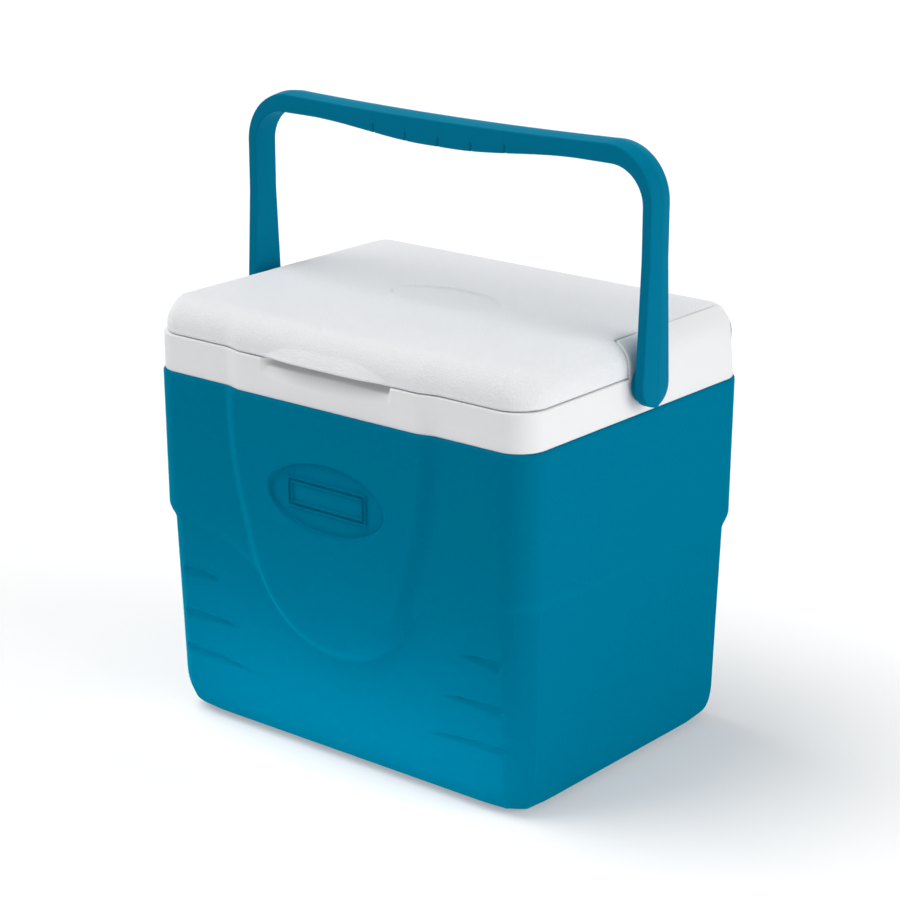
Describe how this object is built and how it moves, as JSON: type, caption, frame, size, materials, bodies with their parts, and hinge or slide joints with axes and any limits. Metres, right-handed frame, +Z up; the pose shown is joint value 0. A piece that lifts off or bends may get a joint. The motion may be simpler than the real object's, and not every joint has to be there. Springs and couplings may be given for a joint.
{
  "type": "cooler chest",
  "caption": "Small hard-sided cooler chest with an insulated tub, a lid hinged at the back between two shoulders, and a bail carry handle.",
  "frame": {"origin": "on the underside, the face that it rests on, in line with the handle's pivots from front to back and midway between the sides", "axes": "+Z up; the front, with the raised panel and the lid's pull lip, faces -Y; +X to the right as seen from the front"},
  "size_m": [0.3054, 0.2217, 0.3754],
  "materials": {
    "shell_plastic": "matte, fine moulded grain",
    "handle_plastic": "satin, smooth",
    "lid_plastic": "matte, fine moulded grain",
    "liner_plastic": "satin, smooth",
    "pin_plastic": "smooth",
    "foam": "rigid insulating foam"
  },
  "bodies": {
    "body": {"outer_shell": "shell_plastic", "body_insulation": "foam", "inner_liner": "liner_plastic"},
    "lid": {"lid_cover": "lid_plastic", "lid_insulation": "foam", "lid_liner": "liner_plastic", "lid_hinge_pin_left": "pin_plastic", "lid_hinge_pin_right": "pin_plastic"},
    "handle": {"carry_handle": "handle_plastic", "handle_pivot_left": "pin_plastic", "handle_pivot_right": "pin_plastic"}
  },
  "joints": [
    {"name": "lid_hinge", "type": "hinge", "parent": "body", "child": "lid", "pos_m": [0, 0.0938, 0.255], "axis": [-1, 0, 0], "range_deg": [0, 40]},
    {"name": "handle_swing", "type": "hinge", "parent": "body", "child": "handle", "pos_m": [0, 0, 0.2393], "axis": [1, 0, 0], "range_deg": [-108, 104]}
  ]
}
